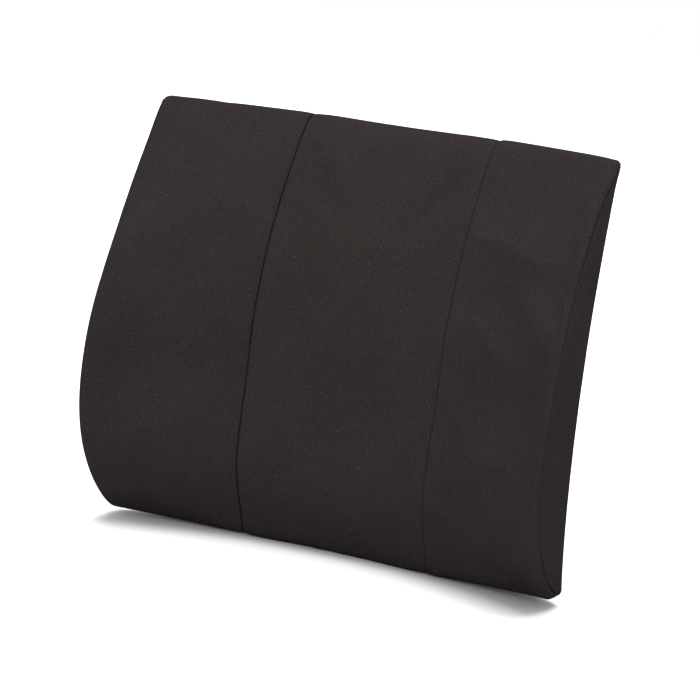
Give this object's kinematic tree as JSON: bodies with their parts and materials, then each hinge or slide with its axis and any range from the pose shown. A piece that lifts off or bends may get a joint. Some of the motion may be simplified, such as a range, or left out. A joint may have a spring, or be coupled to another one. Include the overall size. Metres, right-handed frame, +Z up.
{
  "type": "lumbar support cushion",
  "caption": "Bucket-shaped lumbar support cushion: contoured foam with a stiffening board, in a sewn charcoal cover with a zip up the back.",
  "frame": {"origin": "on the floor, under the middle of the object's bounding box", "axes": "+X to the right as seen from the front, -Y the front that meets the sitter's back, +Z up"},
  "size_m": [0.356, 0.1404, 0.32],
  "materials": {
    "cover_fabric": "plain-woven charcoal poly-cotton, matt",
    "foam": "open-cell polyurethane foam, pale cream",
    "hardboard": "smooth-faced brown hardboard",
    "sewing_thread": "black twisted polyester thread",
    "zip_tape": "black woven twill tape",
    "zip_coil": "black nylon coil",
    "zip_metal": "black painted zinc alloy, worn at the edges"
  },
  "bodies": {
    "cushion": {"foam_core": "foam", "insert_board": "hardboard", "front_left_panel": "cover_fabric", "front_centre_panel": "cover_fabric", "front_right_panel": "cover_fabric", "back_left_panel": "cover_fabric", "back_right_panel": "cover_fabric", "left_side_panel": "cover_fabric", "right_side_panel": "cover_fabric", "left_front_seam_thread": "sewing_thread", "right_front_seam_thread": "sewing_thread", "left_side_seam_thread": "sewing_thread", "right_side_seam_thread": "sewing_thread", "top_seam_thread": "sewing_thread", "bottom_seam_thread": "sewing_thread", "zip_tape_left": "zip_tape", "zip_tape_right": "zip_tape", "zip_coil_left": "zip_coil", "zip_coil_right": "zip_coil", "zip_stop_left": "zip_metal", "zip_stop_right": "zip_metal", "zip_open_end_stop": "zip_metal"},
    "slider": {"zip_slider": "zip_metal"},
    "pull_tab": {"zip_pull_tab": "zip_metal"}
  },
  "joints": [
    {"name": "slider_travel", "type": "slide", "parent": "cushion", "child": "slider", "axis": [0, 0, 1], "range_m": [0, 0.234]},
    {"name": "pull_tab_hinge", "type": "hinge", "parent": "slider", "child": "pull_tab", "pos_m": [0, 0.06844, 0.048], "axis": [1, 0, 0], "range_deg": [0, 175]}
  ]
}
